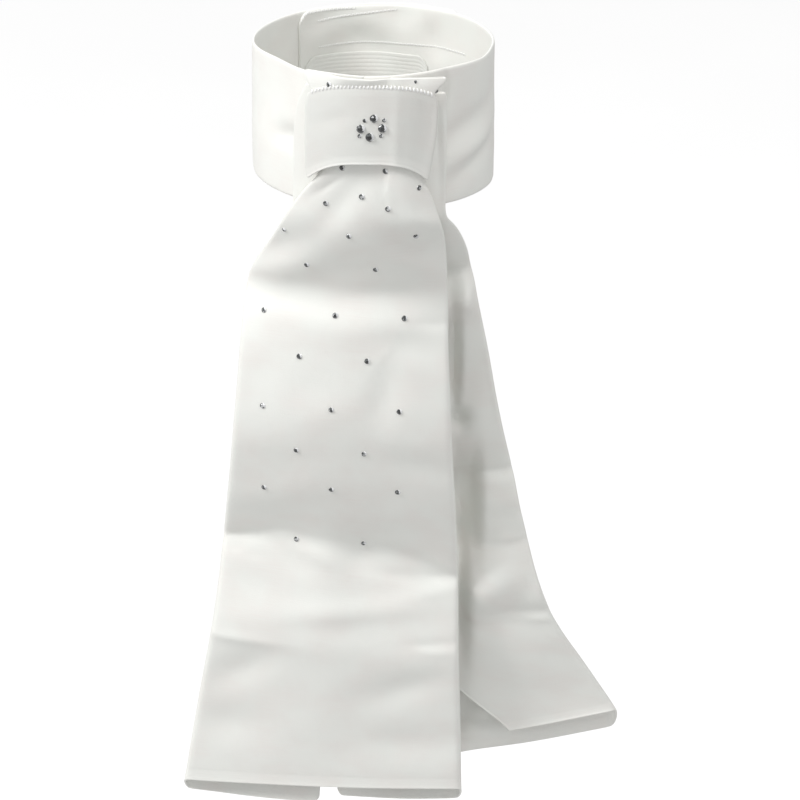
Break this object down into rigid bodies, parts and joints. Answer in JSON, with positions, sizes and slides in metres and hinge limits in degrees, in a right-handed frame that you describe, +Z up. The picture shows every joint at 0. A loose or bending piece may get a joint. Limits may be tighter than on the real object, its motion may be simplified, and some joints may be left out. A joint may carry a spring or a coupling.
{
  "type": "stock tie",
  "caption": "Ready-tied satin stock tie shown as worn: neck band with overlap, knot with a ring of cut stones, two folded tails.",
  "frame": {"origin": "middle of the neck opening, on the neck's axis, at mid height of the band's front", "axes": "+Z up along the neck, -Y the front where the knot is, +X the wearer's left"},
  "size_m": [0.2318, 0.1342, 0.4217],
  "materials": {
    "band_satin": "soft satin",
    "tail_satin": "satin",
    "closure_tape": "matte nylon tape",
    "crystal": "cut and foil-backed"
  },
  "bodies": {
    "root": {"collar": "band_satin", "closure_tape": "closure_tape", "inner_patch": "band_satin", "front_tail": "tail_satin", "rear_tail": "tail_satin", "knot": "tail_satin", "ring_stone_1": "crystal", "ring_stone_2": "crystal", "ring_stone_3": "crystal", "ring_stone_4": "crystal", "ring_stone_5": "crystal", "ring_stone_6": "crystal", "ring_stone_7": "crystal", "ring_stone_8": "crystal", "tail_stone_01": "crystal", "tail_stone_02": "crystal", "tail_stone_03": "crystal", "tail_stone_04": "crystal", "tail_stone_05": "crystal", "tail_stone_06": "crystal", "tail_stone_07": "crystal", "tail_stone_08": "crystal", "tail_stone_09": "crystal", "tail_stone_10": "crystal", "tail_stone_11": "crystal", "tail_stone_12": "crystal", "tail_stone_13": "crystal", "tail_stone_14": "crystal", "tail_stone_15": "crystal", "tail_stone_16": "crystal", "tail_stone_17": "crystal", "tail_stone_18": "crystal", "tail_stone_19": "crystal", "tail_stone_20": "crystal", "tail_stone_21": "crystal", "tail_stone_22": "crystal", "tail_stone_23": "crystal", "tail_stone_24": "crystal", "tail_stone_25": "crystal", "tail_stone_26": "crystal", "tail_stone_27": "crystal", "tail_stone_28": "crystal", "tail_stone_29": "crystal"}
  },
  "joints": []
}
